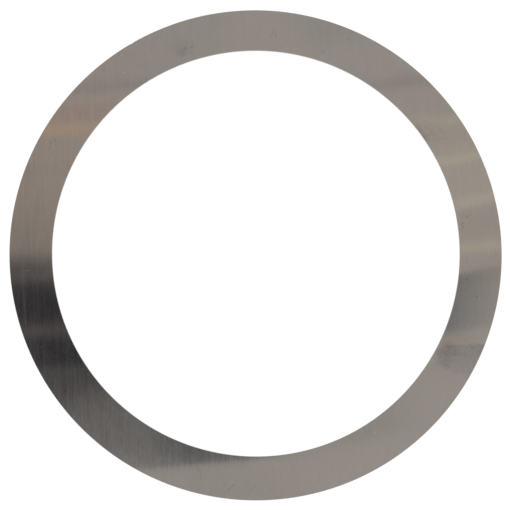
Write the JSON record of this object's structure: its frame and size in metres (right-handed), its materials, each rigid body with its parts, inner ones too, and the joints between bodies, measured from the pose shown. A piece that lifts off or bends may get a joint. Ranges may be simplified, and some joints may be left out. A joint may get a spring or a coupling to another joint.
{
  "type": "shim ring",
  "caption": "Thin flat round steel ring with a large plain bore, for taking up end play on a shaft or in a housing.",
  "frame": {"origin": "centre of the bore, on the lower face", "axes": "+Z along the bore axis, from the lower face to the upper one; +Y along the rolling grain of the strip"},
  "size_m": [0.1148, 0.1148, 0.0005],
  "materials": {
    "steel": "bright cold-rolled steel strip with a fine straight rolling grain, light handling marks and a fingerprint"
  },
  "bodies": {
    "root": {"shim_ring": "steel"}
  },
  "joints": []
}
